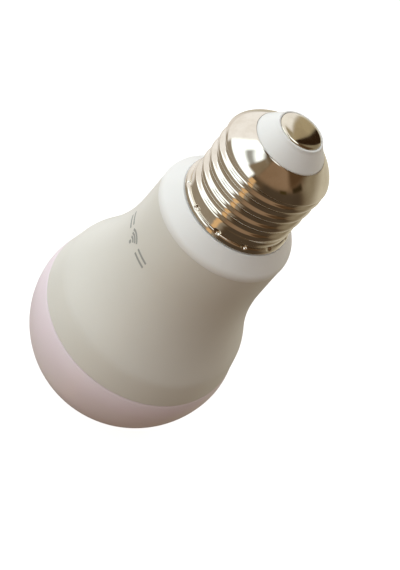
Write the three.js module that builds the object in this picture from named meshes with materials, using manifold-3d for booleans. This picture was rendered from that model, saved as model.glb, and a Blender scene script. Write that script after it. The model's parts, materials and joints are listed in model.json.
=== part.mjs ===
// A screw-cap LED light bulb with a wireless driver, modelled as the separate pieces it is assembled from.
//
// Millimetres. +Z runs along the bulb's axis towards the screw cap, and the origin is the middle of the
// centre contact's face, so the whole bulb hangs below it. Most sizes along the axis are given as a depth
// below that face.

import * as THREE from 'three';
import * as BufferGeometryUtils from 'three/addons/utils/BufferGeometryUtils.js';
import Module from 'manifold-3d';

const wasm = await Module();
wasm.setup();

// ---------------------------------------------------------------------------------------------------------
// Driving dimensions
// ---------------------------------------------------------------------------------------------------------

const CONTACT = {
  radius: 5.05, flatRadius: 2.2, edgeDepth: 0.8, underDepth: 1.15, shankRadius: 1.2, shankDepth: 7.4,
  tipRadius: 0.48, tipDepth: 8.2,
};

const INSULATOR = {
  seatDepth: 1.3, lipInner: 5.2, lipOuter: 5.5, lipDepth: 0.8, coneTop: 5.8, coneRadius: 8.3, coneDepth: 4.4,
  flangeRadius: 11.2, flangeDepth: 7.6, baseDepth: 8.4, wall: 1.2, bossRadius: 3.0, bossDepth: 7.0, boreRadius: 1.35,
};

const SHELL = {
  mouthRadius: 8.66, mouthDepth: 4.7, shoulderDepth: 10, shoulderPower: 1.65, crestRadius: 13.2,
  threadDepth: 1.1, pitch: 3.629, firstRoot: 10.5, runInTop: 9.2, runInBottom: 10.6, skirtTop: 22.4,
  skirtBottom: 24.4, skirtRadius: 13.25, flareDepth: 25.7, rimRadius: 14.05, rimDepth: 27.0,
  thickness: 0.3, rowsPerPitch: 6, shoulderRows: 7,
};

const COLLAR = {
  innerRadius: 13.7, shelfRadius: 14.4, topDepth: 27.3, bendRadius: 17.2, bendDepth: 30.5, creaseRadius: 17.9,
  creaseDepth: 32.6, neckRadius: 11.0, neckInner: 9.8, neckDepth: 9.6, wall: 1.4, spigotRadius: 16.2,
  spigotInner: 15.0, spigotDepth: 37,
};

// The points of the housing's waist line, between its top edge and the knee of the flare: [radius, depth].
const WAIST = [[18.3, 40], [18.9, 47.5], [20.5, 55], [23.2, 62.4]];
const HOUSING = { topRadius: 17.9, topDepth: 32.9, wall: 1.4 };
const FLARE = { kneeDepth: 70, kneeRadius: 26.95, seamDepth: 77.6, seamRadius: 28.8 };

const DOME = {
  radius: 30, equatorDepth: 84, upperHeight: 22.5, seamGap: 0.3, wall: 1.2, skirtRadius: 26.2, skirtTopDepth: 74.8,
};
const SEALANT = { topDepth: 75.2, bottomDepth: 77.2, gap: 0.1 };

const CUP = {
  topDepth: 52, bendDepths: [57, 62, 67], plateDepth: 71.8, thickness: 1.0, gap: 0.35, openingRadius: 9.5, holeRadius: 1.3,
};
const PAD = { radius: 22.5, thickness: 0.4 };
const LED_BOARD = { radius: 24.2, thickness: 1.2 };
const LED = { width: 2.8, length: 3.5, height: 0.8, coolRing: 20.2, warmRing: 15.6, count: 8 };
const SCREW = {
  ringRadius: 11.6, holeRadius: 1.45, shankRadius: 1.2, headRadius: 2.3, crownRadius: 1.6, headHeight: 1.3, edgeHeight: 0.65,
  length: 5, point: 1,
};

const DRIVER = {
  y: -2.2, thickness: 1.2, narrowHalf: 8.2, wideHalf: 12.5, topDepth: 12.4, stepDepth: 34, bottomDepth: 64,
};
const RADIO = { y: 5.4, thickness: 0.8, width: 12, topDepth: 60, bottomDepth: 83 };
const HEADER = { y: -5.6, width: 10, thickness: 2.5, topDepth: 61, bottomDepth: 72.6 };

// Parts on the driver board's two faces. Each x is from the bulb's axis, and each depth is of the part's top.
const INPUT_CAPACITOR = { x: 3.9, depth: 14.5, radius: 3.2, length: 12 };
const OUTPUT_CAPACITOR = { x: 6.8, depth: 34.6, radius: 4, length: 12 };
const CAN_GROOVE = { fromTop: 0.3, above: 1.6, middle: 2.1, below: 2.6, indent: 0.4 };
const FUSE_RESISTOR = { x: -5.2, depth: 14, radius: 1.6, length: 9 };
const VARISTOR = { x: -4.4, depth: 25.25, width: 6.5, thickness: 3.2, length: 6.5 };
const FILM_CAPACITOR = { x: -6.5, depth: 35.75, width: 8.5, thickness: 4.5, length: 7.5 };
const BRIDGE = { x: 0, depth: 19.6, width: 6.2, thickness: 2.2, length: 4.8 };
const CHIP = { x: 0, depth: 41.55, width: 6.0, thickness: 1.7, length: 4.9 };
const TRANSFORMER = { x: 5.6, depth: 49.5, width: 11, length: 10, thickness: 3, leg: 3, coilInner: 2.3, coilOuter: 3.6 };
const CHOKE = { x: -6.4, depth: 46, radius: 3.2, length: 8, waist: 1.5, flange: 1, coilGap: 0.1, coilRadius: 2.8 };
const SHIELD = { width: 10, thickness: 1.6, length: 8, fromTop: 1 };

// Each wire's bends: [x, y, depth].
const LIVE_WIRE = { radius: 0.5, bends: [[-3, -2.2, 12.1], [-2.6, -2.3, 10.6], [-0.6, -2.1, 9.3], [1.2, -1.4, 8.9]] };
const NEUTRAL_WIRE = {
  radius: 0.28,
  bends: [[6.4, -2.2, 12.1], [7.4, -1.4, 10.2], [9.6, -0.3, 9.0], [11.4, 0, 9.5], [11.42, 0, 12.5], [11.42, 0, 15.5]],
};

const CLEARANCE = 0.3;     // between pieces that fit one inside the other
const SOLDER_GAP = 0.1;    // between a board and the parts on it
const SHEET_GAP = 0.05;    // between sheets that lie on each other

// Facets round a turned piece. Pieces with one shape inside the other have the same number.
const ROUND = { plastic: 36, cap: 28, cup: 28, contact: 24, can: 20, rod: 16, screw: 16, hole: 12 };

// ---------------------------------------------------------------------------------------------------------
// Materials
// ---------------------------------------------------------------------------------------------------------

const material = (color, roughness, metalness = 0) =>
  new THREE.MeshStandardMaterial({ color, roughness, metalness });

const nickel = () => material(0xb9ab97, 0.16, 1);
const whitePlastic = () => material(0xf2f3ef, 0.45);
const offWhitePlastic = () => material(0xd8d6cd, 0.5);
const milkyPlastic = () => material(0xd9d0d6, 0.45);
const aluminium = () => material(0xb8babd, 0.4, 1);
const copper = () => material(0xb5693a, 0.4, 1);
const greenBoard = () => material(0x1f6b3f, 0.5);
const blackPlastic = () => material(0x1c1c1e, 0.5);
const ferrite = () => material(0x39383a, 0.7);
const silicone = () => material(0xd8d8d4, 0.6);

// ---------------------------------------------------------------------------------------------------------
// Helpers
// ---------------------------------------------------------------------------------------------------------

const bulb = new THREE.Group();

function place(name, geometry, partMaterial, x = 0, y = 0, depth = 0) {
  const mesh = new THREE.Mesh(geometry, partMaterial);
  mesh.name = name;
  mesh.position.set(x, y, -depth);
  bulb.add(mesh);
  return mesh;
}

// A point of a turned outline: its radius and its depth below the contact's face.
const at = (radius, depth) => new THREE.Vector2(radius, -depth);

// A solid turned round the bulb's axis from a closed outline. The outline runs anticlockwise with the
// radius to the right and the depth downwards.
function turned(outline, segments) {
  const geometry = new THREE.LatheGeometry([...outline, outline[0]], segments);
  geometry.rotateX(Math.PI / 2);
  return geometry;
}

// Points along a quarter ellipse or part of one: angle 0 is the top of the ellipse, 90 degrees its side.
function ellipseArc(centreRadius, centreDepth, width, height, fromDegrees, toDegrees, steps) {
  const points = [];
  for (let i = 0; i <= steps; i++) {
    const angle = THREE.MathUtils.degToRad(fromDegrees + ((toDegrees - fromDegrees) * i) / steps);
    points.push(at(centreRadius + width * Math.sin(angle), centreDepth - height * Math.cos(angle)));
  }
  return points;
}

const block = (x, y, z) => new THREE.BoxGeometry(x, y, z);

// A cylinder along the bulb's axis.
function rod(radius, length, sides) {
  return new THREE.CylinderGeometry(radius, radius, length, sides).rotateX(Math.PI / 2);
}

// A round wire along a smooth path through the given points.
function wire(points, radius) {
  const path = new THREE.CatmullRomCurve3(points.map(([x, y, depth]) => new THREE.Vector3(x, y, -depth)));
  const section = new THREE.Shape().absarc(0, 0, radius, 0, Math.PI * 2);
  return new THREE.ExtrudeGeometry(section, { extrudePath: path, steps: 16, curveSegments: 4 });
}

// A flat board standing on the x and z axes, extruded along y from its middle.
function uprightBoard(shape, thickness) {
  const geometry = new THREE.ExtrudeGeometry(shape, { depth: thickness, bevelEnabled: false, curveSegments: 10 });
  geometry.translate(0, 0, -thickness / 2);
  geometry.rotateX(Math.PI / 2);
  return geometry;
}

function toSolid(geometry) {
  const bare = geometry.clone();
  bare.deleteAttribute('normal');
  bare.deleteAttribute('uv');
  const merged = BufferGeometryUtils.mergeVertices(bare, 1e-4);
  return new wasm.Manifold(new wasm.Mesh({
    numProp: 3,
    vertProperties: new Float32Array(merged.attributes.position.array),
    triVerts: new Uint32Array(merged.index.array),
  }));
}

function toGeometry(solid) {
  const mesh = solid.getMesh();
  const geometry = new THREE.BufferGeometry();
  geometry.setAttribute('position', new THREE.BufferAttribute(mesh.vertProperties, 3));
  geometry.setIndex(new THREE.BufferAttribute(mesh.triVerts, 1));
  geometry.computeVertexNormals();
  return geometry;
}

// ---------------------------------------------------------------------------------------------------------
// Screw cap
// ---------------------------------------------------------------------------------------------------------

// The contact is a tack: a domed head with a small flat, and a shank pressed into the insulator.
function centreContact() {
  const { radius, flatRadius, edgeDepth, underDepth, shankRadius, shankDepth, tipRadius, tipDepth } = CONTACT;
  const outline = [
    at(0, tipDepth),
    at(tipRadius, tipDepth),
    at(shankRadius, shankDepth),
    at(shankRadius, underDepth),
    at(radius, underDepth),
    ...ellipseArc(flatRadius, edgeDepth, radius - flatRadius, edgeDepth, 90, 0, 5),
    at(0, 0),
  ];
  return turned(outline, ROUND.contact);
}

function capInsulator() {
  const { seatDepth, lipInner, lipOuter, lipDepth, coneTop, coneRadius, coneDepth, flangeRadius } = INSULATOR;
  const { flangeDepth, baseDepth, wall, bossRadius, bossDepth, boreRadius } = INSULATOR;
  const outline = [
    at(boreRadius, seatDepth),
    at(boreRadius, bossDepth),
    at(bossRadius, bossDepth),
    at(bossRadius, seatDepth + 2 * wall),
    at(coneTop - wall, seatDepth + 2 * wall),
    at(flangeRadius - 2 * wall, flangeDepth),
    at(flangeRadius - 2 * wall, baseDepth),
    at(flangeRadius, baseDepth),
    at(flangeRadius, flangeDepth),
    at(coneRadius, coneDepth + wall),
    at(coneRadius, coneDepth),
    at(coneTop, seatDepth),
    at(lipOuter, lipDepth),
    at(lipInner, lipDepth),
    at(lipInner, seatDepth),
  ];
  return turned(outline, ROUND.cap);
}

// Radius of the rolled thread at a height measured from a root, from two equal arcs that meet halfway.
function threadRadius(fromRoot) {
  const { crestRadius, threadDepth, pitch } = SHELL;
  const quarter = pitch / 4;
  const arcRadius = (threadDepth ** 2 / 4 + quarter ** 2) / threadDepth;
  const u = THREE.MathUtils.euclideanModulo(fromRoot + pitch / 2, pitch) - pitch / 2;
  const sag = (distance) => arcRadius - Math.sqrt(arcRadius ** 2 - distance ** 2);
  if (Math.abs(u) <= quarter) return crestRadius - threadDepth + sag(u);
  return crestRadius - sag(pitch / 2 - Math.abs(u));
}

// How far up the domed shoulder a depth lies: 1 at the shell's mouth and 0 where the thread starts.
function shoulderRise(depth) {
  return THREE.MathUtils.clamp((SHELL.shoulderDepth - depth) / (SHELL.shoulderDepth - SHELL.mouthDepth), 0, 1);
}

// How fast the shoulder widens with depth.
function shoulderSlope(depth) {
  const { mouthRadius, mouthDepth, shoulderDepth, shoulderPower, crestRadius } = SHELL;
  const steepest = (shoulderPower * (crestRadius - mouthRadius)) / (shoulderDepth - mouthDepth);
  return steepest * shoulderRise(depth) ** (shoulderPower - 1);
}

// Outer radius of the screw shell: a domed shoulder, the right-hand thread, a plain skirt and a flared rim.
function shellRadius(angle, depth) {
  const { mouthRadius, shoulderDepth, shoulderPower, crestRadius, pitch, firstRoot, runInTop, runInBottom } = SHELL;
  const { skirtTop, skirtBottom, skirtRadius, flareDepth, rimRadius, rimDepth } = SHELL;
  const thread = threadRadius(depth - firstRoot + (pitch * angle) / (2 * Math.PI));
  if (depth < shoulderDepth + pitch) {
    const shoulder = mouthRadius + (crestRadius - mouthRadius) * (1 - shoulderRise(depth) ** shoulderPower);
    const blend = THREE.MathUtils.smoothstep(depth, runInTop, runInBottom);
    return THREE.MathUtils.lerp(shoulder, Math.min(shoulder, thread), blend);
  }
  const skirt = THREE.MathUtils.smoothstep(depth, skirtTop, skirtBottom);
  const flare = THREE.MathUtils.clamp((depth - flareDepth) / (rimDepth - flareDepth), 0, 1);
  const flareOut = Math.sqrt(1 - (1 - flare) ** 2);
  return THREE.MathUtils.lerp(thread, skirtRadius, skirt) + (rimRadius - skirtRadius) * flareOut;
}

// A thin shell swept from rows of outer points, and the same rows set in by the sheet's thickness.
function screwShell() {
  const { mouthDepth, shoulderDepth, pitch, rimDepth, thickness, rowsPerPitch, shoulderRows } = SHELL;
  const around = ROUND.cap;
  const depths = [];
  for (let i = 0; i < shoulderRows; i++) {
    depths.push(mouthDepth + ((shoulderDepth - mouthDepth) * i) / shoulderRows);
  }
  const rows = Math.round(((rimDepth - shoulderDepth) / pitch) * rowsPerPitch);
  for (let i = 0; i <= rows; i++) depths.push(shoulderDepth + ((rimDepth - shoulderDepth) * i) / rows);

  const positions = [];
  const addRow = (depth, setIn) => {
    const tilt = Math.atan(shoulderSlope(depth));
    for (let j = 0; j < around; j++) {
      const angle = (2 * Math.PI * j) / around;
      const radius = shellRadius(angle + Math.PI / 2, depth) - setIn * Math.cos(tilt);
      positions.push(radius * Math.cos(angle), radius * Math.sin(angle), -depth - setIn * Math.sin(tilt));
    }
  };
  for (const depth of depths) addRow(depth, 0);
  for (const depth of depths.reverse()) addRow(depth, thickness);

  const indices = [];
  const ringCount = depths.length * 2;
  for (let i = 0; i < ringCount; i++) {
    const next = (i + 1) % ringCount;
    for (let j = 0; j < around; j++) {
      const k = (j + 1) % around;
      const [a, b, c, d] = [i * around + j, i * around + k, next * around + j, next * around + k];
      indices.push(a, c, b, b, c, d);
    }
  }
  const geometry = new THREE.BufferGeometry();
  geometry.setAttribute('position', new THREE.Float32BufferAttribute(positions, 3));
  geometry.setIndex(indices);
  geometry.computeVertexNormals();
  return geometry;
}

// ---------------------------------------------------------------------------------------------------------
// Housing and dome
// ---------------------------------------------------------------------------------------------------------

// The collar with the neck that carries the screw shell, and a spigot that plugs into the housing.
function collar() {
  const { innerRadius, shelfRadius, topDepth, bendRadius, bendDepth, creaseRadius, creaseDepth } = COLLAR;
  const { neckRadius, neckInner, neckDepth, wall, spigotRadius, spigotInner, spigotDepth } = COLLAR;
  const outline = [
    at(spigotInner, spigotDepth),
    at(spigotRadius, spigotDepth),
    at(spigotRadius, creaseDepth),
    at(creaseRadius, creaseDepth),
    ...ellipseArc(bendRadius, creaseDepth, creaseRadius - bendRadius, creaseDepth - bendDepth, 90, 20, 4).slice(1),
    at(shelfRadius, topDepth),
    at(innerRadius, topDepth),
    at(innerRadius, topDepth + 1),
    at(neckRadius, topDepth + 1),
    at(neckRadius, neckDepth),
    at(neckInner, neckDepth),
    at(neckInner, topDepth + 1 + wall),
    at(spigotInner, creaseDepth - wall),
  ];
  return turned(outline, ROUND.plastic);
}

// Outer line of the housing from its top edge to the knee of the flare.
const waistLine = new THREE.SplineCurve([
  at(HOUSING.topRadius, HOUSING.topDepth),
  ...WAIST.map(([radius, depth]) => at(radius, depth)),
  at(FLARE.kneeRadius, FLARE.kneeDepth),
]);

// Radius of the housing's outer line at a depth below its top edge.
function housingRadius(depth) {
  const steps = 60;
  const points = waistLine.getPoints(steps);
  points.push(at(FLARE.seamRadius, FLARE.seamDepth));
  const next = points.findIndex((point) => -point.y >= depth);
  const [p, q] = [points[next - 1], points[next]];
  return THREE.MathUtils.mapLinear(-depth, p.y, q.y, p.x, q.x);
}

function housing() {
  const { topRadius, topDepth, wall } = HOUSING;
  const insideDepths = [38, 47, 55, 60, 65, FLARE.kneeDepth];
  const outline = [
    at(topRadius - wall, topDepth),
    ...insideDepths.map((depth) => at(housingRadius(depth) - wall, depth)),
    at(FLARE.seamRadius - wall, FLARE.seamDepth),
    at(FLARE.seamRadius, FLARE.seamDepth),
    ...waistLine.getPoints(12).reverse(),
  ];
  return turned(outline, ROUND.plastic);
}

function diffuser() {
  const { radius, seamGap, equatorDepth, upperHeight, wall, skirtRadius, skirtTopDepth } = DOME;
  const topDepth = FLARE.seamDepth + seamGap;
  const topAngle = THREE.MathUtils.radToDeg(Math.acos((equatorDepth - topDepth) / upperHeight));
  const outline = [
    ...ellipseArc(0, equatorDepth, radius - wall, radius - wall, 180, 90, 8),
    at(skirtRadius - wall, topDepth + wall),
    at(skirtRadius - wall, skirtTopDepth),
    at(skirtRadius, skirtTopDepth),
    at(skirtRadius, topDepth),
    ...ellipseArc(0, equatorDepth, radius, upperHeight, topAngle, 90, 3),
    ...ellipseArc(0, equatorDepth, radius, radius, 90, 180, 10).slice(1),
  ];
  return turned(outline.reverse(), ROUND.plastic);
}

// The bead of sealant between the dome's skirt and the housing's wall.
function domeSealant() {
  const { topDepth, bottomDepth, gap } = SEALANT;
  const inner = DOME.skirtRadius + gap;
  const outer = (depth) => housingRadius(depth) - HOUSING.wall - gap;
  return turned([
    at(inner, topDepth),
    at(inner, bottomDepth),
    at(outer(bottomDepth), bottomDepth),
    at(outer(topDepth), topDepth),
  ], ROUND.plastic);
}

// ---------------------------------------------------------------------------------------------------------
// Light engine
// ---------------------------------------------------------------------------------------------------------

function heatSinkCup() {
  const { topDepth, bendDepths, plateDepth, thickness, gap, openingRadius, holeRadius } = CUP;
  const outside = (depth) => housingRadius(depth) - HOUSING.wall - gap;
  const wallDepths = [topDepth, ...bendDepths, plateDepth];
  const outline = [
    ...wallDepths.slice(0, -1).map((depth) => at(outside(depth) - thickness, depth)),
    at(outside(plateDepth) - thickness, plateDepth - thickness),
    at(openingRadius, plateDepth - thickness),
    at(openingRadius, plateDepth),
    ...wallDepths.reverse().map((depth) => at(outside(depth), depth)),
  ];
  let cup = toSolid(turned(outline, ROUND.cup));
  for (const side of [-1, 1]) {
    const hole = rod(holeRadius, 4 * thickness, ROUND.hole).translate(side * SCREW.ringRadius, 0, -plateDepth);
    cup = cup.subtract(toSolid(hole));
  }
  return toGeometry(cup);
}

// A disc with holes for the two screws and a slot for the radio board and the pin header.
function piercedDisc(radius, thickness) {
  const disc = new THREE.Shape().absarc(0, 0, radius, 0, Math.PI * 2);
  for (const side of [-1, 1]) {
    disc.holes.push(new THREE.Path().absarc(side * SCREW.ringRadius, 0, SCREW.holeRadius, 0, Math.PI * 2, true));
  }
  const slot = (y, width, height) => {
    const [w, h] = [width / 2 + CLEARANCE, height / 2 + CLEARANCE];
    const path = new THREE.Path();
    path.moveTo(-w, y - h).lineTo(-w, y + h).lineTo(w, y + h).lineTo(w, y - h).lineTo(-w, y - h);
    disc.holes.push(path);
  };
  slot(RADIO.y, RADIO.width, RADIO.thickness);
  slot(HEADER.y, HEADER.width, HEADER.thickness);
  return new THREE.ExtrudeGeometry(disc, { depth: thickness, bevelEnabled: false, curveSegments: 16 });
}

function thermalPad() {
  return piercedDisc(PAD.radius, PAD.thickness);
}

function ledBoard() {
  return piercedDisc(LED_BOARD.radius, LED_BOARD.thickness);
}

// A pan-head screw, driven up from the dome's side.
function boardScrew() {
  const { shankRadius, headRadius, crownRadius, headHeight, edgeHeight, length, point } = SCREW;
  const outline = [
    at(0, headHeight),
    at(crownRadius, headHeight),
    at(headRadius, edgeHeight),
    at(headRadius, 0),
    at(shankRadius, 0),
    at(shankRadius, point - length),
    at(0, -length),
  ];
  return turned(outline, ROUND.screw);
}

const padDepth = CUP.plateDepth + PAD.thickness + SHEET_GAP;
const boardDepth = padDepth + LED_BOARD.thickness + SHEET_GAP;
const ledDepth = boardDepth + LED.height / 2 + SHEET_GAP;

function addLedRing(name, ringRadius, offset) {
  for (let i = 0; i < LED.count; i++) {
    const angle = (2 * Math.PI * (i + offset)) / LED.count;
    const chip = block(LED.length, LED.width, LED.height).rotateZ(angle);
    place(`${name}_${i + 1}`, chip, material(0xe8c85a, 0.4),
      ringRadius * Math.cos(angle), ringRadius * Math.sin(angle), ledDepth);
  }
}

// ---------------------------------------------------------------------------------------------------------
// Driver
// ---------------------------------------------------------------------------------------------------------

function driverBoard() {
  const { narrowHalf, wideHalf, topDepth, stepDepth, bottomDepth, thickness } = DRIVER;
  const shape = new THREE.Shape([
    new THREE.Vector2(-narrowHalf, -topDepth),
    new THREE.Vector2(-narrowHalf, -stepDepth),
    new THREE.Vector2(-wideHalf, -stepDepth),
    new THREE.Vector2(-wideHalf, -bottomDepth),
    new THREE.Vector2(wideHalf, -bottomDepth),
    new THREE.Vector2(wideHalf, -stepDepth),
    new THREE.Vector2(narrowHalf, -stepDepth),
    new THREE.Vector2(narrowHalf, -topDepth),
  ]);
  return uprightBoard(shape, thickness);
}

// A canned capacitor along the bulb's axis, with a rolled groove near its open end.
function cannedCapacitor(radius, length) {
  const { fromTop, above, middle, below, indent } = CAN_GROOVE;
  const outline = [
    at(0, length),
    at(radius - indent, length),
    at(radius, length - indent),
    at(radius, below),
    at(radius - indent, middle),
    at(radius, above),
    at(radius, fromTop),
    at(radius - fromTop, 0),
    at(0, 0),
  ];
  return turned(outline, ROUND.can);
}

// A ferrite core with two windows, one on each side of the leg that carries the winding.
function transformerCore(width, height, depth, leg) {
  let core = toSolid(block(width, depth, height));
  const windowWidth = (width - 2 * leg) / 2;
  for (const side of [-1, 1]) {
    const opening = block(windowWidth, 2 * depth, height - leg);
    core = core.subtract(toSolid(opening.translate((side * (leg + windowWidth)) / 2, 0, 0)));
  }
  return toGeometry(core);
}

function ringSolid(inner, outer, length) {
  return turned([at(inner, 0), at(inner, length), at(outer, length), at(outer, 0)], ROUND.can);
}

function chokeCore() {
  const { radius, length, waist, flange } = CHOKE;
  return turned([
    at(0, length),
    at(radius, length),
    at(radius, length - flange),
    at(waist, length - flange),
    at(waist, flange),
    at(radius, flange),
    at(radius, 0),
    at(0, 0),
  ], ROUND.can);
}

// Where the middle of a part of the given thickness stands on the driver board's front or back face.
const boardHalf = DRIVER.thickness / 2 + SOLDER_GAP;
const onFront = (thickness) => DRIVER.y + boardHalf + thickness / 2;
const onBack = (thickness) => DRIVER.y - boardHalf - thickness / 2;

// A block that is given by its width, thickness and length, with its top at its own depth.
function placeBlock(name, part, partMaterial, y) {
  place(name, block(part.width, part.thickness, part.length), partMaterial, part.x, y, part.depth + part.length / 2);
}

function driverParts() {
  place('driver_board', driverBoard(), greenBoard(), 0, DRIVER.y, 0);
  for (const [name, can] of [['input_capacitor', INPUT_CAPACITOR], ['output_capacitor', OUTPUT_CAPACITOR]]) {
    place(name, cannedCapacitor(can.radius, can.length), blackPlastic(), can.x, onFront(2 * can.radius), can.depth);
  }
  const fuse = FUSE_RESISTOR;
  place('fuse_resistor', rod(fuse.radius, fuse.length, ROUND.rod), material(0x9ab7a0, 0.5),
    fuse.x, onFront(2 * fuse.radius), fuse.depth + fuse.length / 2);
  placeBlock('varistor', VARISTOR, material(0x2f5f9e, 0.5), onFront(VARISTOR.thickness));
  placeBlock('film_capacitor', FILM_CAPACITOR, material(0xb8392c, 0.45), onFront(FILM_CAPACITOR.thickness));
  placeBlock('bridge_rectifier', BRIDGE, blackPlastic(), onBack(BRIDGE.thickness));
  placeBlock('driver_chip', CHIP, blackPlastic(), onBack(CHIP.thickness));

  const { x, depth, width, length, thickness, leg, coilInner, coilOuter } = TRANSFORMER;
  const coilLength = length - leg - 2 * CLEARANCE;
  place('transformer_core', transformerCore(width, length, thickness, leg), ferrite(),
    x, onFront(2 * coilOuter), depth + length / 2);
  place('transformer_winding', ringSolid(coilInner, coilOuter, coilLength), copper(),
    x, onFront(2 * coilOuter), depth + (length - coilLength) / 2);

  const chokeY = onFront(2 * CHOKE.radius);
  const chokeCoilLength = CHOKE.length - 2 * (CHOKE.flange + CHOKE.coilGap);
  place('choke_core', chokeCore(), ferrite(), CHOKE.x, chokeY, CHOKE.depth);
  place('choke_winding', ringSolid(CHOKE.waist + CHOKE.coilGap, CHOKE.coilRadius, chokeCoilLength), copper(),
    CHOKE.x, chokeY, CHOKE.depth + CHOKE.flange + CHOKE.coilGap);
}

function radioParts() {
  const { y, thickness, width, topDepth, bottomDepth } = RADIO;
  const length = bottomDepth - topDepth;
  place('radio_board', block(width, thickness, length), material(0x20242a, 0.5), 0, y, topDepth + length / 2);
  const shieldY = y - (thickness + SHIELD.thickness) / 2 - SOLDER_GAP;
  place('radio_shield', block(SHIELD.width, SHIELD.thickness, SHIELD.length), aluminium(),
    0, shieldY, topDepth + SHIELD.fromTop + SHIELD.length / 2);
}

// ---------------------------------------------------------------------------------------------------------
// Assembly
// ---------------------------------------------------------------------------------------------------------

place('centre_contact', centreContact(), nickel());
place('cap_insulator', capInsulator(), whitePlastic());
place('screw_shell', screwShell(), nickel());
place('collar', collar(), whitePlastic());
place('housing', housing(), offWhitePlastic());
place('diffuser', diffuser(), milkyPlastic());
place('dome_sealant', domeSealant(), silicone());

place('heat_sink_cup', heatSinkCup(), aluminium());
place('thermal_pad', thermalPad(), silicone(), 0, 0, padDepth);
place('led_board', ledBoard(), aluminium(), 0, 0, boardDepth);
for (const [index, side] of [-1, 1].entries()) {
  place(`board_screw_${index + 1}`, boardScrew(), material(0x8d8f92, 0.3, 1),
    side * SCREW.ringRadius, 0, boardDepth + SHEET_GAP);
}
addLedRing('cool_led', LED.coolRing, 0);
addLedRing('warm_led', LED.warmRing, 0.5);

driverParts();
radioParts();
place('pin_header', block(HEADER.width, HEADER.thickness, HEADER.bottomDepth - HEADER.topDepth), blackPlastic(),
  0, HEADER.y, (HEADER.bottomDepth + HEADER.topDepth) / 2);

// The live wire ends beside the contact's shank, and the neutral wire folds over the neck's rim so that
// the shell pinches it.
place('live_wire', wire(LIVE_WIRE.bends, LIVE_WIRE.radius), material(0xa03028, 0.6));
place('neutral_wire', wire(NEUTRAL_WIRE.bends, NEUTRAL_WIRE.radius), copper());

export default bulb;
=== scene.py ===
"""A screw-cap smart light bulb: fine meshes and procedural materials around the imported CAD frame.

Metres, in the CAD frame: +Z runs along the bulb's axis towards the screw cap, and the origin is the middle
of the centre contact's face. Heights below that face are given as depths.
"""

import json
import math

import bpy
import numpy as np
from mathutils import Euler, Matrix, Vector


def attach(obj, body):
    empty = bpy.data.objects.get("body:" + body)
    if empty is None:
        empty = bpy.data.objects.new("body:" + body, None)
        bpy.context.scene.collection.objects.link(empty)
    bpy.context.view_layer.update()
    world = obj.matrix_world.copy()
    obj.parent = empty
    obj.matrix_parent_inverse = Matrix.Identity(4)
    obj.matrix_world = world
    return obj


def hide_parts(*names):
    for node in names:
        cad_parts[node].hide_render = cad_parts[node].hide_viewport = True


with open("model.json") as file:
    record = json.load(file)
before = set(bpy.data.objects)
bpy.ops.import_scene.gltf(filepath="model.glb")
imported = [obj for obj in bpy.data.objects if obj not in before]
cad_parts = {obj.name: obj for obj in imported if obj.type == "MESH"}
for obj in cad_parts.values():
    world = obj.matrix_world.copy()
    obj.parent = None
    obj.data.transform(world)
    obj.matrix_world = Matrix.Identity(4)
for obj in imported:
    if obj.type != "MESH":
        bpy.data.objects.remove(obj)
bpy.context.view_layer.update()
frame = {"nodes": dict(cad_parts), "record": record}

MM = 0.001
TAU = 2 * math.pi

# ---------------------------------------------------------------------------------------------------------
# Sizes, in millimetres
# ---------------------------------------------------------------------------------------------------------

CONTACT = {
    "radius": 5.05, "flat": 0.6, "dome_degrees": 84, "edge_depth": 0.85, "rim_height": 0.1,
    "edge_round": 0.08, "under_depth": 1.14, "shank": 1.2, "point": 0.48, "point_depth": 7.2,
    "tip_depth": 8.0,
}

INSULATOR = {
    "seat_depth": 1.2, "lip_inner": 5.12, "lip_outer": 5.55, "lip_depth": 0.72, "cone_top": 5.85,
    "cone_start": 1.35, "cone_radius": 8.45, "cone_depth": 4.6, "wall": 1.2, "flange": (8.8, 11.2),
    "flange_depths": (7.6, 8.4), "boss": 3.0, "bore": 1.35, "boss_depth": 7.0,
    "lip_inner_round": 0.12, "lip_outer_round": 0.14, "foot_round": 0.3, "edge_round": 0.15,
}

SHELL = {
    "mouth_radius": 8.62, "mouth_depth": 4.72, "mouth_roll": 0.02, "mouth_roll_height": 0.14,
    "shoulder_depth": 10.0, "shoulder_power": 1.65, "crest": 13.2, "thread_depth": 1.1, "pitch": 3.629,
    "first_root": 10.5, "run_in": (9.2, 10.6), "run_out": (22.5, 24.3), "skirt_radius": 13.25,
    "bead_top": 25.72, "bead_widest": 26.85, "rim_radius": 14.05, "rim_roll": 0.1, "rim_depth": 27.0,
    "thickness": 0.3, "sharp_degrees": 50,
}
CRIMP = {
    "count": 12, "first_degrees": 2, "depth": 25.65, "half_width": 0.8, "half_height": 0.55,
    "dent": 0.5, "flat_share": 0.55,
}

COLLAR = {
    "inner": 13.7, "shelf": 14.3, "top_depth": 27.25, "shelf_wall": 0.9, "shoulder": (17.95, 31.3),
    "crease": (17.97, 32.58), "neck_inner": 9.8, "neck_outer": 11.0, "neck_depth": 9.6,
    "spigot": (14.9, 16.2), "spigot_depth": 36.8, "shelf_round": 0.12, "shoulder_round": 1.15,
    "crease_round": 0.12,
}
NECK_TOP = (17.92, 32.62)
NECK_POINTS = [(18.3, 40), (18.9, 47.5), (20.5, 55), (23.2, 62.4)]
KNEE = (26.95, 70)
SEAM = {"radius": 28.85, "depth": 77.68, "gap": 0.22}
HOUSING = {"wall": 1.4, "top_round": 0.12, "knee_round": 1.2, "seam_round": 0.16}

# The printed sign on the neck: a dot with three arcs over it, between two pairs of bars.
SIGN = {
    "degrees": -47, "depth": 45.5, "proud": 0.02, "sunk": 0.05, "line": 0.6, "steps": 25,
    "dot_radius": 0.5, "dot_drop": 1.45, "dot_degrees": 80, "dot_steps": 17,
    "arc_radii": (1.25, 2.15, 3.05), "arc_degrees": 45,
    "bars": ((-7.9, -3.6), (3.6, 7.9)), "bar_rise": 0.75,
}

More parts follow.
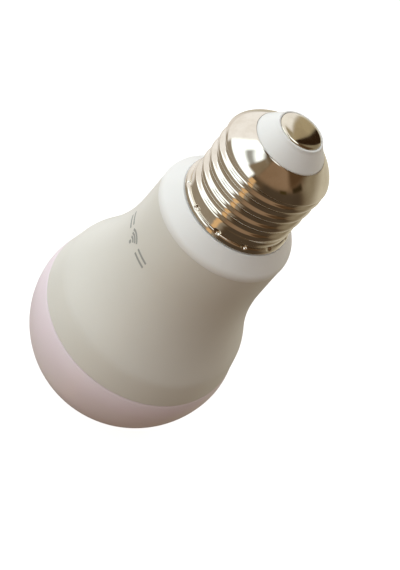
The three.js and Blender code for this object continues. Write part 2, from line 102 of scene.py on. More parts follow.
DOME = {
    "radius": 29.99, "equator_depth": 84, "upper_height": 22.5, "lower_height": 30, "top_round": 0.35,
    "wall": 1.2, "skirt": 26.2, "skirt_depth": 75,
}

AROUND = 240            # steps round a turned piece
CONTACT_AROUND = 160    # steps round the contact, which is smaller
SHELL_AROUND = 360      # steps round the screw shell, fine enough for its crimps
NECK_STEPS = 12         # steps between two points of the neck's outline
NECK_INNER_STRIDE = 6   # the inside of the neck takes only every sixth of them

# Rows of the screw shell's outer face from its mouth to its rim. They crowd towards the mouth on the
# shoulder, have one height on the thread and the skirt, and follow the round of the bead. The inner face
# takes only every fourth of them.
SHELL_ROWS = {"shoulder": 56, "crowding": 1.4, "height": 0.12, "bead": 20, "foot": 4, "inner_stride": 4}


# ---------------------------------------------------------------------------------------------------------
# Outlines and meshes
# ---------------------------------------------------------------------------------------------------------

def ellipse(centre_radius, centre_depth, width, height, start, stop, steps):
    """Points (radius, depth) of an ellipse arc. At 0 degrees it is at its top and at 90 at its side."""
    angles = np.radians(np.linspace(start, stop, steps + 1))
    return [(centre_radius + width * math.sin(a), centre_depth - height * math.cos(a)) for a in angles]


def curve_number(a, b, c, d, t):
    """A coordinate of the Catmull-Rom curve at the share t of the way from b to c."""
    return 0.5 * (
        2 * b
        + (c - a) * t
        + (2 * a - 5 * b + 4 * c - d) * t ** 2
        + (3 * b - a - 3 * c + d) * t ** 3
    )


def smooth_line(points, steps):
    """A Catmull-Rom curve through the points, with the given steps between each pair."""
    padded = [points[0], *points, points[-1]]
    line = []
    for stretch in zip(padded, padded[1:], padded[2:], padded[3:]):
        for t in np.linspace(0, 1, steps, endpoint=False):
            line.append(tuple(curve_number(*numbers, t) for numbers in zip(*stretch)))
    return [*line, points[-1]]


def rounded(before, corner, after, size, steps=5):
    """The points of a corner rounded off, starting and ending the given size away from it."""
    start = Vector(corner) + (Vector(before) - Vector(corner)).normalized() * size
    stop = Vector(corner) + (Vector(after) - Vector(corner)).normalized() * size
    curve = []
    for t in np.linspace(0, 1, steps + 1):
        point = start * (1 - t) ** 2 + Vector(corner) * 2 * t * (1 - t) + stop * t ** 2
        curve.append(tuple(point))
    return curve


def make_object(name, vertices, faces, sharp_degrees=35):
    """A smooth mesh object, with sharp edges where its faces meet at more than the given angle."""
    mesh = bpy.data.meshes.new(name)
    mesh.from_pydata(vertices, [], faces)
    mesh.validate()
    mesh.polygons.foreach_set("use_smooth", [True] * len(mesh.polygons))
    mesh.set_sharp_from_angle(angle=math.radians(sharp_degrees))
    piece = bpy.data.objects.new(name, mesh)
    bpy.context.collection.objects.link(piece)
    return piece


def turned(name, outline, around=AROUND):
    """A closed piece turned round the bulb's axis from an outline of (radius, depth) in millimetres."""
    vertices, rings = [], []
    for radius, depth in outline:
        if radius == 0:
            rings.append([len(vertices)] * around)
            vertices.append((0, 0, -depth * MM))
            continue
        rings.append([len(vertices) + j for j in range(around)])
        for j in range(around):
            angle = TAU * j / around
            vertices.append((radius * MM * math.cos(angle), radius * MM * math.sin(angle), -depth * MM))
    faces = []
    for ring, below in zip(rings, rings[1:] + rings[:1]):
        for j in range(around):
            k = (j + 1) % around
            face = [ring[j], below[j], below[k], ring[k]]
            corners = list(dict.fromkeys(face))
            if len(corners) > 2:
                faces.append(corners)
    return make_object(name, vertices, faces)


# ---------------------------------------------------------------------------------------------------------
# Screw cap
# ---------------------------------------------------------------------------------------------------------

def centre_contact():
    """The domed contact button, with a thin rim and the pointed shank that holds it."""
    c = CONTACT
    width, height = c["radius"] - c["flat"], c["edge_depth"]
    dome = ellipse(c["flat"], c["edge_depth"], width, height, 0, c["dome_degrees"], steps=28)
    rim, foot = (c["radius"], c["edge_depth"] + c["rim_height"]), (c["radius"], c["under_depth"])
    under = (c["shank"], c["under_depth"])
    outline = [
        (0, 0), *dome,
        *rounded(dome[-1], rim, foot, c["edge_round"]),
        *rounded(rim, foot, under, c["edge_round"]),
        under,
        (c["shank"], c["point_depth"]),
        (c["point"], c["tip_depth"]),
        (0, c["tip_depth"]),
    ]
    return turned("contact_button", outline, CONTACT_AROUND)


def cap_insulator():
    """The pale cone between contact and shell, with a lip round the contact and a flange in the shell."""
    i = INSULATOR
    seat, lip = (i["lip_inner"], i["seat_depth"]), (i["lip_inner"], i["lip_depth"])
    lip_out, foot = (i["lip_outer"], i["lip_depth"]), (i["cone_top"], i["cone_start"])
    edge, under = (i["cone_radius"], i["cone_depth"]), (i["cone_radius"], i["cone_depth"] + i["wall"])
    inside_depth = i["seat_depth"] + 2 * i["wall"]
    flange_inner, flange_outer = i["flange"]
    flange_top, flange_bottom = i["flange_depths"]
    outline = [
        (i["bore"], i["seat_depth"]), seat,
        *rounded(seat, lip, lip_out, i["lip_inner_round"]),
        *rounded(lip, lip_out, foot, i["lip_outer_round"]),
        *rounded(lip_out, foot, edge, i["foot_round"]),
        *rounded(foot, edge, under, i["edge_round"]),
        under,
        (flange_outer, flange_top), (flange_outer, flange_bottom),
        (flange_inner, flange_bottom), (flange_inner, flange_top),
        (i["cone_top"] - i["wall"], inside_depth),
        (i["boss"], inside_depth), (i["boss"], i["boss_depth"]), (i["bore"], i["boss_depth"]),
    ]
    return turned("insulator_cone", outline)


def smoothstep(low, high, value):
    """Rises softly from 0 at the low value to 1 at the high one."""
    t = np.clip((value - low) / (high - low), 0, 1)
    return t * t * (3 - 2 * t)


def thread_radius(from_root):
    """Radius of the rolled thread at a height from a root: two equal arcs that meet halfway."""
    s = SHELL
    quarter = s["pitch"] / 4
    arc = (s["thread_depth"] ** 2 / 4 + quarter ** 2) / s["thread_depth"]
    to_root = np.abs(np.mod(from_root + 2 * quarter, s["pitch"]) - 2 * quarter)
    to_crest = 2 * quarter - to_root
    above_root = arc - np.sqrt(arc ** 2 - np.minimum(to_root, quarter) ** 2)
    below_crest = arc - np.sqrt(arc ** 2 - np.minimum(to_crest, quarter) ** 2)
    root = s["crest"] - s["thread_depth"]
    return np.where(to_root <= quarter, root + above_root, s["crest"] - below_crest)


def shoulder_rise(depth):
    """How far up the domed shoulder a depth lies: 1 at the shell's mouth and 0 where the thread starts."""
    mouth, foot = SHELL["mouth_depth"], SHELL["shoulder_depth"]
    return np.clip((foot - depth) / (foot - mouth), 0, 1)


def shoulder_tilt(depth):
    """The angle by which the shoulder's face leans back towards the shell's mouth."""
    s = SHELL
    width, height = s["crest"] - s["mouth_radius"], s["shoulder_depth"] - s["mouth_depth"]
    steepest = s["shoulder_power"] * width / height
    return math.atan(steepest * float(shoulder_rise(depth)) ** (s["shoulder_power"] - 1))


def crimp_dent(angle, depth):
    """How far the crimping punches push the sheet in. The angle is measured from the side facing -Y."""
    spacing = TAU / CRIMP["count"]
    first = math.radians(CRIMP["first_degrees"])
    off_angle = np.mod(angle - first + spacing / 2, spacing) - spacing / 2
    across = off_angle * SHELL["skirt_radius"] / CRIMP["half_width"]
    along = (depth - CRIMP["depth"]) / CRIMP["half_height"]
    distance = np.sqrt(across ** 2 + along ** 2)
    return CRIMP["dent"] * (1 - smoothstep(CRIMP["flat_share"], 1, distance))


def shell_radius(angle, depth):
    """Outer radius of the screw shell. The angle is measured from the side facing -Y, towards +X."""
    s = SHELL
    thread = thread_radius(depth - s["first_root"] + s["pitch"] * angle / TAU)
    rise = shoulder_rise(depth)
    shoulder = s["mouth_radius"] + (s["crest"] - s["mouth_radius"]) * (1 - rise ** s["shoulder_power"])
    upper = shoulder + (np.minimum(shoulder, thread) - shoulder) * smoothstep(*s["run_in"], depth)
    lower = thread + (s["skirt_radius"] - thread) * smoothstep(*s["run_out"], depth)
    radius = np.where(depth < s["shoulder_depth"] + s["pitch"], upper, lower)
    bead_rise = np.clip((s["bead_widest"] - depth) / (s["bead_widest"] - s["bead_top"]), 0, 1)
    bead = (s["rim_radius"] - s["skirt_radius"]) * np.sqrt(1 - bead_rise ** 2)
    mouth_roll = s["mouth_roll"] * (1 - smoothstep(0, s["mouth_roll_height"], depth - s["mouth_depth"]))
    rim_roll = s["rim_roll"] * smoothstep(s["bead_widest"], s["rim_depth"], depth)
    return radius + bead - mouth_roll - rim_roll - crimp_dent(angle, depth)


def shell_rows():
    """Depths of the rows of the shell's outer face, from its mouth to its rim."""
    s, rows = SHELL, SHELL_ROWS
    crowded = np.linspace(0, 1, rows["shoulder"]) ** rows["crowding"]
    shoulder = s["mouth_depth"] + (s["shoulder_depth"] - s["mouth_depth"]) * crowded
    straight = np.arange(s["shoulder_depth"] + rows["height"], s["bead_top"], rows["height"])
    round_bead = np.cos(np.linspace(0, math.pi / 2, rows["bead"]))
    bead = s["bead_widest"] - (s["bead_widest"] - s["bead_top"]) * round_bead
    foot = np.linspace(s["bead_widest"], s["rim_depth"], rows["foot"])[1:]
    return np.concatenate([shoulder, straight, bead, foot])


def screw_shell():
    """The thin pressed shell: rows of its outer face from mouth to rim, then its inner face back."""
    outer = shell_rows()
    inner = outer[::-SHELL_ROWS["inner_stride"]]
    angles = np.linspace(0, TAU, SHELL_AROUND, endpoint=False)

    vertices = []
    for depths, set_in in ((outer, 0), (inner, SHELL["thickness"])):
        for depth in depths:
            tilt = shoulder_tilt(depth)
            radius = shell_radius(angles, np.full_like(angles, depth)) - set_in * math.cos(tilt)
            x, y = radius * np.sin(angles), -radius * np.cos(angles)
            z = np.full_like(angles, -depth - set_in * math.sin(tilt))
            vertices.extend(zip(x * MM, y * MM, z * MM))

    rows = len(outer) + len(inner)
    faces = []
    for i in range(rows):
        top, bottom = i * SHELL_AROUND, ((i + 1) % rows) * SHELL_AROUND
        for j in range(SHELL_AROUND):
            k = (j + 1) % SHELL_AROUND
            faces.append((top + j, bottom + j, bottom + k, top + k))
    places = [tuple(map(float, vertex)) for vertex in vertices]
    return make_object("threaded_shell", places, faces, SHELL["sharp_degrees"])


# ---------------------------------------------------------------------------------------------------------
# Housing and dome
# ---------------------------------------------------------------------------------------------------------

NECK_LINE = smooth_line([NECK_TOP, *NECK_POINTS, KNEE], NECK_STEPS)


def neck_radius(depth):
    """Outer radius of the neck at a depth."""
    return float(np.interp(depth, [d for _, d in NECK_LINE], [r for r, _ in NECK_LINE]))


def collar_ring():
    """The white collar: a neck tube in the shell, a shelf under its rim and a spigot in the housing."""
    c = COLLAR
    inner, shelf = (c["inner"], c["top_depth"]), (c["shelf"], c["top_depth"])
    spigot_inner, spigot_outer = c["spigot"]
    under = (spigot_outer, c["crease"][1])
    below_shelf = c["top_depth"] + c["shelf_wall"]
    inside = below_shelf + HOUSING["wall"]
    outline = [
        (c["neck_inner"], c["neck_depth"]), (c["neck_outer"], c["neck_depth"]),
        (c["neck_outer"], below_shelf), (c["inner"], below_shelf), inner,
        *rounded(inner, shelf, c["shoulder"], c["shelf_round"]),
        *rounded(shelf, c["shoulder"], c["crease"], c["shoulder_round"], steps=10),
        *rounded(c["shoulder"], c["crease"], under, c["crease_round"]),
        under, (spigot_outer, c["spigot_depth"]), (spigot_inner, c["spigot_depth"]),
        (spigot_inner, c["crease"][1] - HOUSING["wall"]), (c["neck_inner"], inside),
    ]
    return turned("collar_ring", outline)


def housing_body():
    """The off-white body from the crease under the collar to the seam of the dome."""
    wall = HOUSING["wall"]
    neck = NECK_LINE[2:-2]
    top_inside = (NECK_TOP[0] - wall, NECK_TOP[1])
    seam = (SEAM["radius"], SEAM["depth"])
    inside_seam = (SEAM["radius"] - wall, SEAM["depth"])
    inside = [(radius - wall, depth) for radius, depth in NECK_LINE[::-NECK_INNER_STRIDE]]
    outline = [
        top_inside,
        *rounded(top_inside, NECK_TOP, neck[0], HOUSING["top_round"]),
        *neck,
        *rounded(neck[-1], KNEE, seam, HOUSING["knee_round"], steps=8),
        *rounded(KNEE, seam, inside_seam, HOUSING["seam_round"]),
        inside_seam,
        *inside[:-1],
    ]
    return turned("housing_body", outline)


def ribbon(name, strips):
    """Thin curved slabs on the neck. A strip is a list of pairs of points (across, down) in millimetres."""
    outer, inner = SIGN["proud"], -SIGN["sunk"]
    vertices, faces = [], []
    for strip in strips:
        first = len(vertices)
        for left, right in strip:
            for (across, down), lift in ((left, outer), (right, outer), (right, inner), (left, inner)):
                depth = SIGN["depth"] + down
                angle = math.radians(SIGN["degrees"]) + across / neck_radius(SIGN["depth"])
                radius = (neck_radius(depth) + lift) * MM
                vertices.append((radius * math.sin(angle), -radius * math.cos(angle), -depth * MM))
        last = len(vertices) - 4
        faces.append(tuple(first + k for k in range(4)))
        faces.append(tuple(last + k for k in reversed(range(4))))
        for start in range(first, last, 4):
            for k in range(4):
                n = (k + 1) % 4
                faces.append((start + k, start + 4 + k, start + 4 + n, start + n))
    return make_object(name, vertices, faces)


def sign_point(radius, angle):
    """A point of the sign round its dot. The angle is measured from straight up."""
    return radius * math.sin(angle), SIGN["dot_drop"] - radius * math.cos(angle)


def neck_sign():
    """A generic sign for a wireless device."""
    half = SIGN["line"] / 2
    strips = []
    for low, high in SIGN["bars"]:
        for middle in (-SIGN["bar_rise"], SIGN["bar_rise"]):
            steps = np.linspace(low, high, SIGN["steps"])
            strips.append([((x, middle - half), (x, middle + half)) for x in steps])
    sweep = np.radians(np.linspace(-SIGN["arc_degrees"], SIGN["arc_degrees"], SIGN["steps"]))
    for radius in SIGN["arc_radii"]:
        strips.append([(sign_point(radius + half, a), sign_point(radius - half, a)) for a in sweep])
    dot = SIGN["dot_radius"]
    sweep = np.radians(np.linspace(-SIGN["dot_degrees"], SIGN["dot_degrees"], SIGN["dot_steps"]))
    strips.append([(sign_point(dot, a), sign_point(dot, math.pi - a)) for a in sweep])
    return ribbon("neck_sign", strips)


def diffuser_dome():
    """The milky dome: a rounded edge under the seam, half a ball below it and a skirt in the housing."""
    d = DOME
    top = SEAM["depth"] + SEAM["gap"]
    top_angle = math.degrees(math.acos((d["equator_depth"] - top) / d["upper_height"]))
    upper = ellipse(0, d["equator_depth"], d["radius"], d["upper_height"], top_angle, 90, steps=12)
    lower = ellipse(0, d["equator_depth"], d["radius"], d["lower_height"], 90, 180, steps=60)[1:-1]
    inner_radius = d["radius"] - d["wall"]
    inner = ellipse(0, d["equator_depth"], inner_radius, inner_radius, 180, 90, steps=30)[1:]
    outline = [
        (d["skirt"] - d["wall"], d["skirt_depth"]), (d["skirt"], d["skirt_depth"]), (d["skirt"], top),
        *rounded((d["skirt"], top), upper[0], upper[2], d["top_round"]),
        *upper[1:], *lower, (0, d["equator_depth"] + d["lower_height"]),
        (0, d["equator_depth"] + inner_radius), *inner,
        (d["skirt"] - d["wall"], top + d["wall"]),
    ]
    return turned("diffuser_dome", outline)


# ---------------------------------------------------------------------------------------------------------
# Materials
# ---------------------------------------------------------------------------------------------------------

MIX_FACTOR, MIX_FIRST, MIX_SECOND, MIX_RESULT = 0, 6, 7, 2    # the Mix node's sockets when it mixes colours
MIDDLE = (0.35, 0.65)                                         # where most of a noise lies


class Nodes:
    """Short helpers for the nodes of a material or of the world."""

    def __init__(self, tree):
        self.nodes = tree.nodes
        self.links = tree.links

    def node(self, kind, **settings):
        made = self.nodes.new("ShaderNode" + kind)
        for key, value in settings.items():
            setattr(made, key, value)
        return made

    def calculate(self, operation, *values):
        """A Math node, whose values are numbers or outputs of other nodes."""
        made = self.node("Math", operation=operation)
        for socket, value in zip(made.inputs, values):
            if isinstance(value, (int, float)):
                socket.default_value = value
            else:
                self.links.new(value, socket)
        return made.outputs[0]

    def spread(self, value, span, result=(0, 1), **settings):
        """The value carried from one span of numbers to another, and held at its ends."""
        ramp = self.node("MapRange", **settings)
        for socket, number in zip(("From Min", "From Max", "To Min", "To Max"), (*span, *result)):
            ramp.inputs[socket].default_value = number
        self.links.new(value, ramp.inputs["Value"])
        return ramp.outputs["Result"]

    def blend(self, factor, first, second):
        """A mix of two colours, each given as red, green and blue or as the output of another node."""
        mix = self.node("Mix", data_type="RGBA")
        for socket, colour in ((MIX_FIRST, first), (MIX_SECOND, second)):
            if isinstance(colour, tuple):
                mix.inputs[socket].default_value = (*colour, 1)
            else:
                self.links.new(colour, mix.inputs[socket])
        self.links.new(factor, mix.inputs[MIX_FACTOR])
        return mix.outputs[MIX_RESULT]


class Shader(Nodes):
    """A material whose Principled shader is reached as .main. Keywords set that shader's own sockets."""

    def __init__(self, name, **sockets):
        self.material = bpy.data.materials.new(name)
        self.material.use_nodes = True
        super().__init__(self.material.node_tree)
        self.main = self.nodes["Principled BSDF"]
        for socket, value in sockets.items():
            self.main.inputs[socket.replace("_", " ")].default_value = value

    def place(self):
        return self.node("TexCoord").outputs["Object"]

    def noise(self, scale, detail=4, roughness=0.5, stretch=(1, 1, 1)):
        mapping = self.node("Mapping")
        mapping.inputs["Scale"].default_value = stretch
        self.links.new(self.place(), mapping.inputs["Vector"])
        noise = self.node("TexNoise")
        noise.inputs["Scale"].default_value = scale
        noise.inputs["Detail"].default_value = detail
        noise.inputs["Roughness"].default_value = roughness
        self.links.new(mapping.outputs["Vector"], noise.inputs["Vector"])
        return noise.outputs["Fac"]

    def set(self, socket, output):
        self.links.new(output, self.main.inputs[socket])

    def bump(self, height, strength, distance):
        bump = self.node("Bump")
        bump.inputs["Strength"].default_value = strength
        bump.inputs["Distance"].default_value = distance
        self.links.new(height, bump.inputs["Height"])
        self.set("Normal", bump.outputs["Normal"])


def moulded_plastic(name, light, dark, roughness):
    """Satin moulded plastic: slow changes of tone, a fine spark-eroded grain and smudges in the gloss."""
    s = Shader(name, Roughness=roughness, IOR=1.5, Subsurface_Weight=0.08, Subsurface_Scale=1.0,
               Subsurface_Radius=(0.0012, 0.001, 0.0008))
    s.set("Base Color", s.blend(s.spread(s.noise(60, 3), MIDDLE), light, dark))
    s.set("Roughness", s.spread(s.noise(180, 5, 0.6), MIDDLE, (roughness - 0.05, roughness + 0.07)))
    s.bump(s.noise(9000, 3, 0.6), strength=0.05, distance=0.00002)
    return s.material


def nickel_plate(name, clean, tarnished, roughness):
    """Polished nickel plate: a warm tone, faint tarnish and fine drawing lines round the axis."""
    s = Shader(name, Metallic=1.0, Roughness=roughness)
    patches = s.spread(s.noise(160, 5, 0.6), (0.42, 0.62))
    s.set("Base Color", s.blend(patches, clean, tarnished))
    s.set("Roughness", s.spread(s.noise(420, 4, 0.6), (0.3, 0.7), (roughness * 0.75, roughness * 1.5)))
    s.bump(s.noise(900, 3, 0.6, stretch=(0.15, 0.15, 6)), strength=0.06, distance=0.00001)
    return s.material


def milky_dome(name, light, dark, roughness):
    """The diffuser: milky, faintly lilac and smoother than the housing."""
    s = Shader(name, Roughness=roughness, IOR=1.49, Subsurface_Weight=0.25, Subsurface_Scale=1.0,
               Subsurface_Radius=(0.0015, 0.0013, 0.0015))
    s.set("Base Color", s.blend(s.spread(s.noise(40, 3), MIDDLE), light, dark))
    s.set("Roughness", s.spread(s.noise(90, 3), MIDDLE, (roughness - 0.01, roughness + 0.03)))
    s.bump(s.noise(7000, 2), strength=0.03, distance=0.00002)
    return s.material


def grained(name, light, dark, roughness, metallic):
    """A plain inner part: two tones broken up by noise, with a matching fine relief."""
    s = Shader(name, Roughness=roughness, Metallic=metallic)
    noise = s.noise(900, 4, 0.6)
    s.set("Base Color", s.blend(s.spread(noise, MIDDLE), light, dark))
    s.set("Roughness", s.spread(noise, (0.3, 0.7), (roughness * 0.85, roughness * 1.15)))
    s.bump(noise, strength=0.2, distance=0.00003)
    return s.material


def wound_copper(name):
    """Enamelled copper wire wound round the bulb's axis, one turn above the next."""
    s = Shader(name, Metallic=1.0, Roughness=0.35)
    turns = s.node("TexWave", wave_type="BANDS", bands_direction="Z")
    turns.inputs["Scale"].default_value = 1200
    turns.inputs["Distortion"].default_value = 0.6
    s.links.new(s.place(), turns.inputs["Vector"])
    s.set("Base Color", s.blend(turns.outputs["Fac"], (0.32, 0.13, 0.05), (0.72, 0.36, 0.17)))
    s.bump(turns.outputs["Fac"], strength=0.7, distance=0.0001)
    return s.material


# Looks of the inner CAD parts by their slots: light tone, dark tone, roughness and metallic.
INNER_LOOKS = {
    "silicone": ((0.72, 0.72, 0.7), (0.62, 0.62, 0.6), 0.5, 0),
    "sink_aluminium": ((0.66, 0.67, 0.68), (0.52, 0.53, 0.55), 0.35, 1),
    "pad_silicone": ((0.36, 0.38, 0.42), (0.3, 0.32, 0.36), 0.7, 0),
    "board_aluminium": ((0.86, 0.86, 0.84), (0.8, 0.8, 0.78), 0.35, 0),
    "screw_steel": ((0.5, 0.5, 0.51), (0.38, 0.38, 0.4), 0.3, 1),
    "cool_led_package": ((0.9, 0.8, 0.32), (0.82, 0.7, 0.25), 0.3, 0),
    "warm_led_package": ((0.9, 0.52, 0.12), (0.8, 0.44, 0.1), 0.3, 0),
    "driver_laminate": ((0.03, 0.17, 0.07), (0.02, 0.11, 0.05), 0.4, 0),
    "capacitor_sleeve": ((0.02, 0.02, 0.03), (0.04, 0.04, 0.05), 0.3, 0),
    "resistor_body": ((0.3, 0.42, 0.36), (0.24, 0.34, 0.3), 0.45, 0),
    "varistor_body": ((0.03, 0.09, 0.3), (0.02, 0.06, 0.22), 0.4, 0),
    "film_body": ((0.42, 0.05, 0.03), (0.34, 0.04, 0.03), 0.35, 0),
    "chip_body": ((0.02, 0.02, 0.02), (0.035, 0.035, 0.035), 0.55, 0),
    "ferrite": ((0.03, 0.03, 0.032), (0.05, 0.05, 0.05), 0.6, 0),
    "radio_laminate": ((0.012, 0.016, 0.02), (0.02, 0.025, 0.03), 0.35, 0),
    "shield_tinplate": ((0.62, 0.62, 0.62), (0.5, 0.5, 0.5), 0.28, 1),
    "header_plastic": ((0.015, 0.015, 0.015), (0.03, 0.03, 0.03), 0.5, 0),
    "wire_sleeve": ((0.32, 0.02, 0.015), (0.26, 0.015, 0.012), 0.45, 0),
}


def dress_inner_nodes():
    """Gives every CAD node that stays the material of its slot."""
    looks = {slot: grained(slot, *look) for slot, look in INNER_LOOKS.items()}
    looks["copper_winding"] = wound_copper("copper_winding")
    for subpart in frame["record"]["subparts"]:
        slot = subpart["material_slot"]
        if slot in looks:
            node = frame["nodes"][subpart["node"]]
            for material_slot in node.material_slots:
                material_slot.material = looks[slot]


# ---------------------------------------------------------------------------------------------------------
# Outer pieces on the frame
# ---------------------------------------------------------------------------------------------------------

def fit(piece, node, material):
    """Puts a piece in the place of a CAD node and its material."""
    piece.data.materials.append(material)
    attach(piece, "root")
    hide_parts(node)


dress_inner_nodes()
fit(centre_contact(), "centre_contact",
    nickel_plate("contact_nickel", (0.74, 0.69, 0.58), (0.66, 0.6, 0.5), 0.09))
fit(cap_insulator(), "cap_insulator",
    moulded_plastic("insulator_white", (0.9, 0.9, 0.89), (0.87, 0.87, 0.86), 0.4))
fit(screw_shell(), "screw_shell",
    nickel_plate("shell_nickel", (0.78, 0.73, 0.65), (0.7, 0.64, 0.55), 0.06))
fit(collar_ring(), "collar",
    moulded_plastic("collar_white", (0.91, 0.91, 0.9), (0.88, 0.88, 0.87), 0.42))
fit(housing_body(), "housing",
    moulded_plastic("housing_white", (0.80, 0.785, 0.735), (0.78, 0.765, 0.715), 0.42))
fit(neck_sign(), "housing",
    moulded_plastic("sign_ink", (0.41, 0.41, 0.39), (0.37, 0.37, 0.36), 0.5))
fit(diffuser_dome(), "diffuser",
    milky_dome("dome_milky", (0.92, 0.82, 0.88), (0.90, 0.79, 0.86), 0.32))


# ---------------------------------------------------------------------------------------------------------
# Floor, light and camera
# ---------------------------------------------------------------------------------------------------------

# Half the floor's width and its depth below the contact are in millimetres.
FLOOR = {"half": 3000, "depth": DOME["equator_depth"] + DOME["lower_height"], "grey": 0.5, "glow": 0.85}


def floor():
    """A plain pale floor for the camera only: it bounces no light, casts no shadow and isn't mirrored."""
    half, height = FLOOR["half"] * MM, -FLOOR["depth"] * MM
    mesh = bpy.data.meshes.new("floor")
    corners = [(-half, -half, height), (half, -half, height), (half, half, height), (-half, half, height)]
    mesh.from_pydata(corners, [], [(0, 1, 2, 3)])
    piece = bpy.data.objects.new("floor", mesh)
    bpy.context.collection.objects.link(piece)
    grey = (*[FLOOR["grey"]] * 3, 1)
    pale = Shader("pale_floor", Roughness=0.9, Base_Color=grey, Emission_Color=(1, 1, 1, 1),
                  Emission_Strength=FLOOR["glow"])
    piece.data.materials.append(pale.material)
    piece.visible_glossy = False
    piece.visible_diffuse = False
    piece.visible_shadow = False


# Soft areas of light in the room, each painted over the ones before it: its colour, the azimuths and the
# elevations that it covers, and how soft its edges are, in degrees. Azimuth 0 is -Y, 90 is +X, None is all.
ROOM = (0.12, 0.08, 0.045)    # the room's own colour, under the areas
WRAP_MARGIN = 20              # the azimuths are counted from this many degrees before an area
LIGHT_AREAS = [
    ((0.36, 0.31, 0.24), (-200, 6), (-90, 12), 8),       # low left
    ((0.92, 0.88, 0.84), (-200, -114), (-50, 14), 8),    # low left, further back
    ((0.29, 0.19, 0.115), (-10, 110), (38, 95), 10),     # front of the ceiling
    ((0.30, 0.25, 0.17), (100, 200), (-60, 60), 14),     # back right
    ((0.63, 0.58, 0.46), (120, 200), (-45, 14), 14),     # back right, lower down
    ((1.10, 1.09, 1.08), (-174, -95), (-8, 95), 4),      # back left
    ((1.65, 1.80, 1.85), (-97, -16), (9, 66), 4),        # window
    ((0.42, 0.43, 0.41), (-73, -25), (41, 54), 5),       # wall over the window
    ((0.26, 0.20, 0.13), (-38, -8), (38, 70), 5),        # wall beside it
    ((0.85, 0.55, 0.27), (-14, -3), (-85, 24), 3),       # warm strip beside the window
    ((0.08, 0.056, 0.035), (12, 92), (-48, 34), 8),      # dark wall in front, on the right
    ((0.10, 0.055, 0.025), (70, 140), (40, 78), 8),      # dark part of the ceiling
    ((0.06, 0.04, 0.012), (48, 62), (30, 38), 3),        # dark shape between the two
    ((0.04, 0.025, 0.01), (76, 98), (33, 42), 3),        # another
    ((0.07, 0.05, 0.04), (152, 208), (-90, -38), 4),     # dark ground far behind the bulb
    ((0.47, 0.39, 0.25), (175, 187), (10, 80), 3),       # back wall
    ((0.44, 0.38, 0.26), (185, 212), (50, 80), 4),       # its upper part
    ((0.03, 0.014, 0.006), (158, 175), (6, 68), 1.5),    # dark doorway in it
    ((1.80, 1.90, 1.95), None, (78, 95), 3),             # lamp overhead
]


def soft_inside(tree, value, limits, soft):
    """1 where the value lies within the limits and 0 where it doesn't, with soft edges."""
    low, high = limits
    rise = tree.spread(value, (low - soft, low + soft), interpolation_type="SMOOTHSTEP")
    fall = tree.spread(value, (high + soft, high - soft), interpolation_type="SMOOTHSTEP")
    return tree.calculate("MULTIPLY", rise, fall)


def painted_room(tree):
    """The room's colour in every direction."""
    split = tree.node("SeparateXYZ")
    tree.links.new(tree.node("TexCoord").outputs["Generated"], split.inputs[0])
    x, y, z = split.outputs
    azimuth = tree.calculate("DEGREES", tree.calculate("ARCTAN2", x, tree.calculate("MULTIPLY", y, -1)))
    elevation = tree.calculate("DEGREES", tree.calculate("ARCSINE", z))
    colour = ROOM
    for area, azimuths, elevations, soft in LIGHT_AREAS:
        mask = soft_inside(tree, elevation, elevations, soft)
        if azimuths:
            start = azimuths[0] - WRAP_MARGIN
            wrapped = tree.calculate("WRAP", azimuth, start + 360, start)
            mask = tree.calculate("MULTIPLY", soft_inside(tree, wrapped, azimuths, soft), mask)
        colour = tree.blend(mask, colour, area)
    return colour


def room_light():
    """The world: a warm room with a large window on the left. The camera itself sees only plain white."""
    world = bpy.data.worlds.new("room")
    bpy.context.scene.world = world
    world.use_nodes = True
    tree = Nodes(world.node_tree)
    room = tree.nodes["Background"]
    tree.links.new(painted_room(tree), room.inputs["Color"])
    plain = tree.node("Background")
    plain.inputs["Color"].default_value = (1, 1, 1, 1)
    choose = tree.node("MixShader")
    tree.links.new(tree.node("LightPath").outputs["Is Camera Ray"], choose.inputs["Fac"])
    tree.links.new(room.outputs["Background"], choose.inputs[1])
    tree.links.new(plain.outputs["Background"], choose.inputs[2])
    tree.links.new(choose.outputs["Shader"], tree.nodes["World Output"].inputs["Surface"])


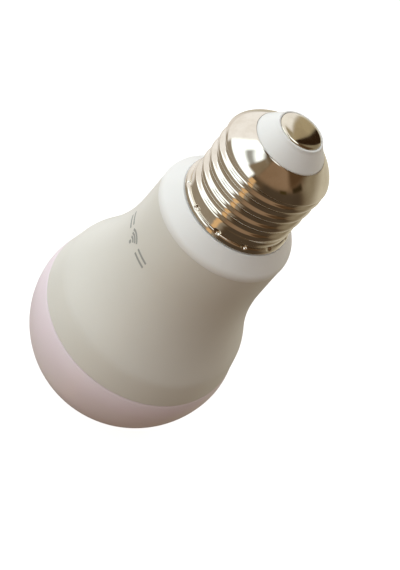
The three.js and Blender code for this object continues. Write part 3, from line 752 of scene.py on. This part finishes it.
# Large, weak lamps that show in no reflection. Their distance, aim and size are in millimetres, and each has
# an azimuth and an elevation in degrees, a power in watts and a colour.
FILL = {"distance": 500, "aim_depth": 60, "size": 400}
FILL_LAMPS = [
    (-80, 5, 0.26, (0.95, 1.0, 1.0)),
    (40, 72, 0.30, (0.92, 0.97, 1.0)),
    (30, -5, 0.14, (1.0, 0.84, 0.78)),
    (145, 10, 0.40, (1.0, 0.96, 0.90)),
]


def direction(azimuth, elevation):
    """The unit vector towards an azimuth and an elevation in degrees."""
    across, up = math.radians(azimuth), math.radians(elevation)
    return Vector((math.sin(across) * math.cos(up), -math.cos(across) * math.cos(up), math.sin(up)))


def fill_lights():
    """Lamps for the plastics, all aimed at the middle of the bulb."""
    aim = Vector((0, 0, -FILL["aim_depth"])) * MM
    for number, (azimuth, elevation, power, colour) in enumerate(FILL_LAMPS, 1):
        data = bpy.data.lights.new(f"fill_{number}", "AREA")
        data.size = FILL["size"] * MM
        data.energy = power
        data.color = colour
        out = direction(azimuth, elevation)
        lamp = bpy.data.objects.new(f"fill_{number}", data)
        lamp.location = aim + out * FILL["distance"] * MM
        lamp.rotation_mode = "QUATERNION"
        lamp.rotation_quaternion = out.to_track_quat("Z", "Y")
        lamp.visible_glossy = False
        lamp.visible_camera = False
        bpy.context.collection.objects.link(lamp)


# The camera's place and aim, the length of its lens and its nearest distance are in millimetres.
CAMERA = {
    "place": (0, -142.9, 91.9), "aim": (6.2, 0, -55.8), "roll_degrees": 42.66, "lens": 50, "clip_start": 10,
}


def camera():
    """The photograph's view: from the front and above, with the cap leaning over to the right."""
    data = bpy.data.cameras.new("camera")
    data.lens = CAMERA["lens"]
    data.clip_start = CAMERA["clip_start"] * MM
    viewer = bpy.data.objects.new("camera", data)
    place, aim = Vector(CAMERA["place"]) * MM, Vector(CAMERA["aim"]) * MM
    level = (aim - place).to_track_quat("-Z", "Y")
    roll = Euler((0, 0, math.radians(CAMERA["roll_degrees"]))).to_quaternion()
    viewer.location = place
    viewer.rotation_mode = "QUATERNION"
    viewer.rotation_quaternion = level @ roll
    bpy.context.collection.objects.link(viewer)
    bpy.context.scene.camera = viewer


floor()
room_light()
fill_lights()
camera()
bpy.context.scene.view_settings.view_transform = "Standard"
